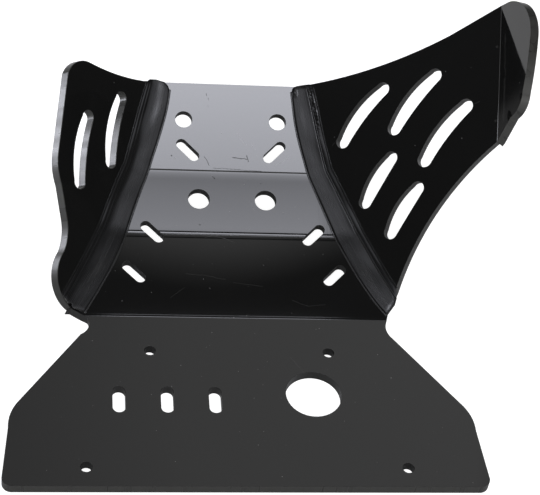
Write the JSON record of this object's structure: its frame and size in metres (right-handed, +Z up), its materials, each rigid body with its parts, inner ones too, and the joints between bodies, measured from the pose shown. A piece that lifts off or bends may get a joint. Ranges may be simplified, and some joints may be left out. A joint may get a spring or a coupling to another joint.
{
  "type": "motorcycle skid plate",
  "caption": "Folded plastic engine guard plate with welded side wings, crescent cooling slots, a round drain opening and bolt holes for the frame rails.",
  "frame": {"origin": "middle of the rear bolt pair, on the upper face of the rear panel", "axes": "+X to the rider's right, +Y towards the front wheel, +Z up, square to the rear panel"},
  "size_m": [0.3308, 0.2953, 0.165],
  "materials": {
    "sheet": "black polyethylene sheet, lightly scuffed",
    "sheet_right": "black polyethylene sheet, smooth",
    "sheet_left": "black polyethylene sheet, smooth",
    "weld_right": "black extruded plastic weld, streaked along its run",
    "weld_left": "black extruded plastic weld, streaked along its run"
  },
  "bodies": {
    "root": {"centre_plate": "sheet", "right_wing": "sheet_right", "left_wing": "sheet_left", "right_weld": "weld_right", "left_weld": "weld_left"}
  },
  "joints": []
}
